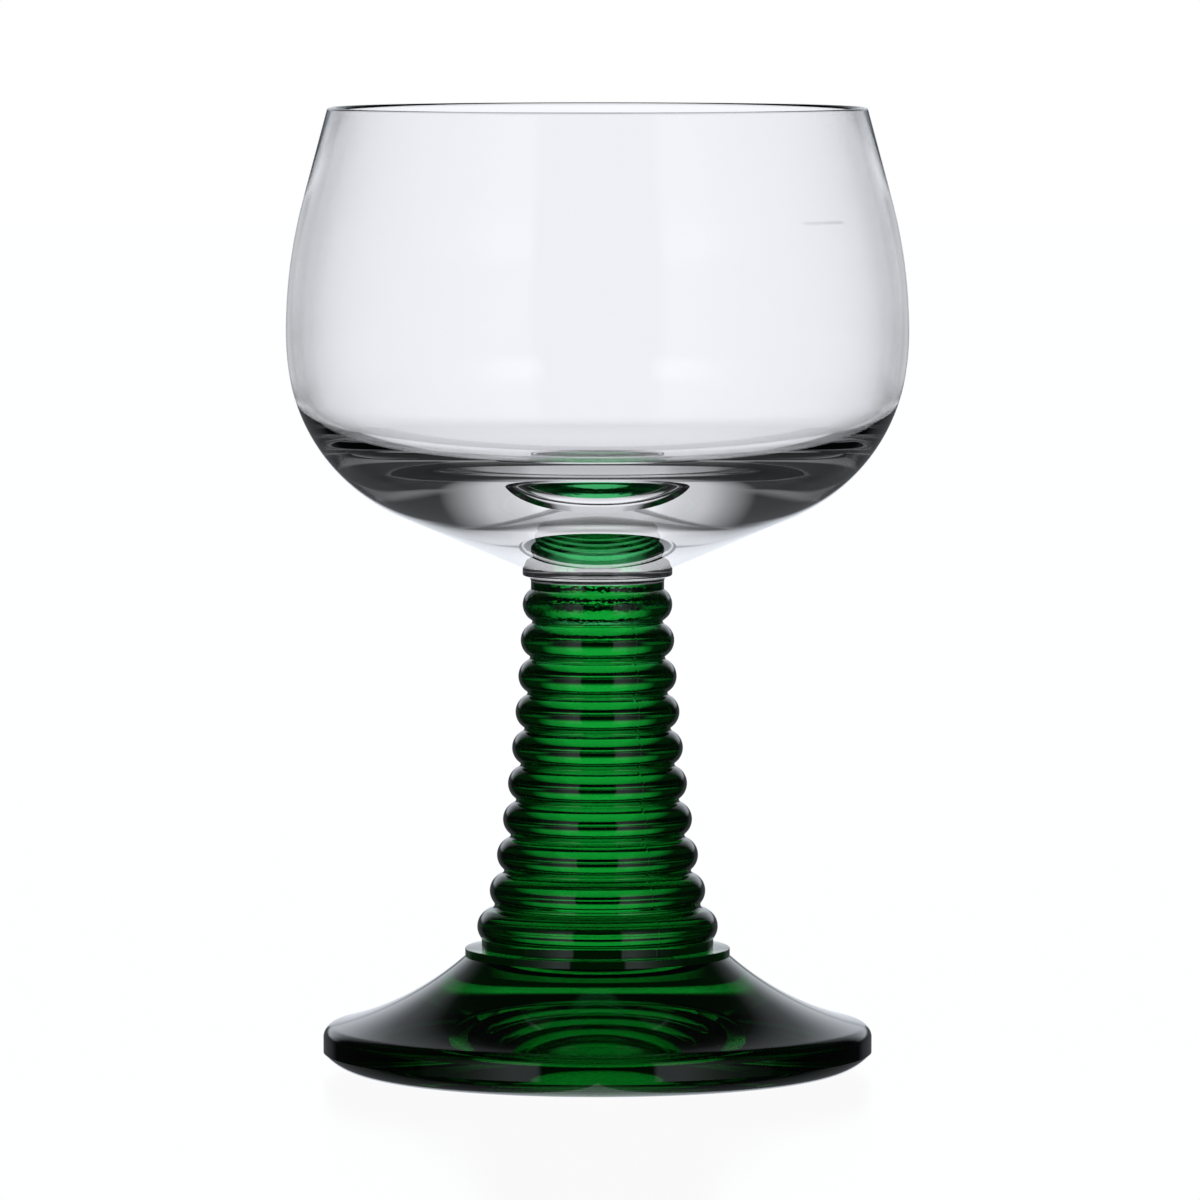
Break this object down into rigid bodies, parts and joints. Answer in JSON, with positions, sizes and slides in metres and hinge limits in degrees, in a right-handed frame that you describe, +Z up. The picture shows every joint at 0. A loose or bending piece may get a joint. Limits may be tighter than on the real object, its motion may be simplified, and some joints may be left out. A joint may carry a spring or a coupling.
{
  "type": "roemer wine glass",
  "caption": "Roemer wine glass: round clear bowl with a drawn-in lip and thick base, fused by a clear collar to a solid green beaded stem on a flared green foot, for drinking wine.",
  "frame": {"origin": "middle of the ring that the foot stands on, on the surface it stands on", "axes": "+Z up along the glass's axis, towards the lip; X and Y are alike because every piece is a turned body"},
  "size_m": [0.0904, 0.0904, 0.14],
  "materials": {
    "clear_glass": "fire-polished clear soda-lime glass",
    "green_glass": "pressed deep green soda-lime glass"
  },
  "bodies": {
    "root": {"foot": "green_glass", "stem": "green_glass", "collar": "clear_glass", "bowl": "clear_glass"}
  },
  "joints": []
}
